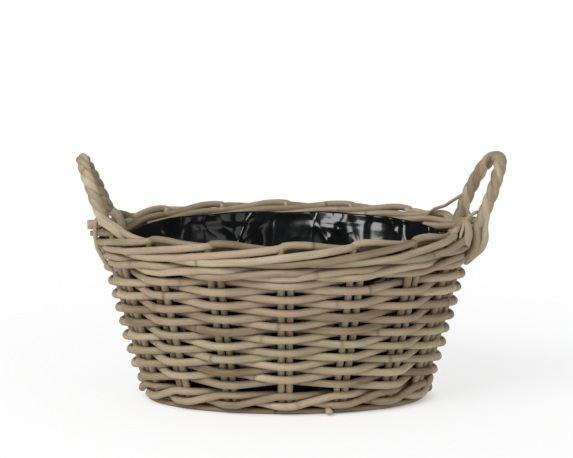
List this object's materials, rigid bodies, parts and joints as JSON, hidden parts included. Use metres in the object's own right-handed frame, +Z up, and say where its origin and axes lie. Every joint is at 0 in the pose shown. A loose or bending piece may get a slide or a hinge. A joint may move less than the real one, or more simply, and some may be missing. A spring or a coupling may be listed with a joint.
{
  "type": "rattan planter basket",
  "caption": "Oval planter basket woven from rattan rods on bent stakes, with a plaited border, a film liner and a roped handle at each end.",
  "frame": {"origin": "ground level below the middle of the box round the basket and its handles", "axes": "+X along the oval towards the open handle, -Y towards the front, +Z up"},
  "size_m": [0.4286, 0.2728, 0.2492],
  "materials": {
    "kubu_rattan": "satin",
    "pale_rattan": "satin",
    "black_film": "gloss"
  },
  "bodies": {
    "root": {"cross_stake_00": "kubu_rattan", "cross_stake_01": "kubu_rattan", "cross_stake_02": "kubu_rattan", "cross_stake_06": "kubu_rattan", "cross_stake_07": "kubu_rattan", "cross_stake_08": "kubu_rattan", "cross_stake_09": "kubu_rattan", "cross_stake_10": "kubu_rattan", "cross_stake_14": "kubu_rattan", "cross_stake_15": "kubu_rattan", "long_stake_03": "kubu_rattan", "long_stake_04": "kubu_rattan", "long_stake_05": "kubu_rattan", "long_stake_11": "kubu_rattan", "long_stake_12": "kubu_rattan", "long_stake_13": "kubu_rattan", "weaver_a_1": "kubu_rattan", "weaver_a_2": "kubu_rattan", "weaver_a_3": "kubu_rattan", "weaver_a_4": "kubu_rattan", "base_weaver_1": "kubu_rattan", "left_handle_strand_1": "kubu_rattan", "left_handle_strand_2": "kubu_rattan", "left_handle_strand_3": "kubu_rattan", "right_handle_strand_1": "kubu_rattan", "right_handle_strand_2": "kubu_rattan", "right_handle_strand_3": "kubu_rattan", "weaver_b_1": "pale_rattan", "weaver_b_2": "pale_rattan", "weaver_b_3": "pale_rattan", "weaver_b_4": "pale_rattan", "top_wale_1": "pale_rattan", "top_wale_2": "pale_rattan", "top_wale_3": "pale_rattan", "foot_wale_1": "pale_rattan", "foot_wale_2": "pale_rattan", "foot_wale_3": "pale_rattan", "base_weaver_2": "pale_rattan", "film_liner": "black_film"}
  },
  "joints": []
}
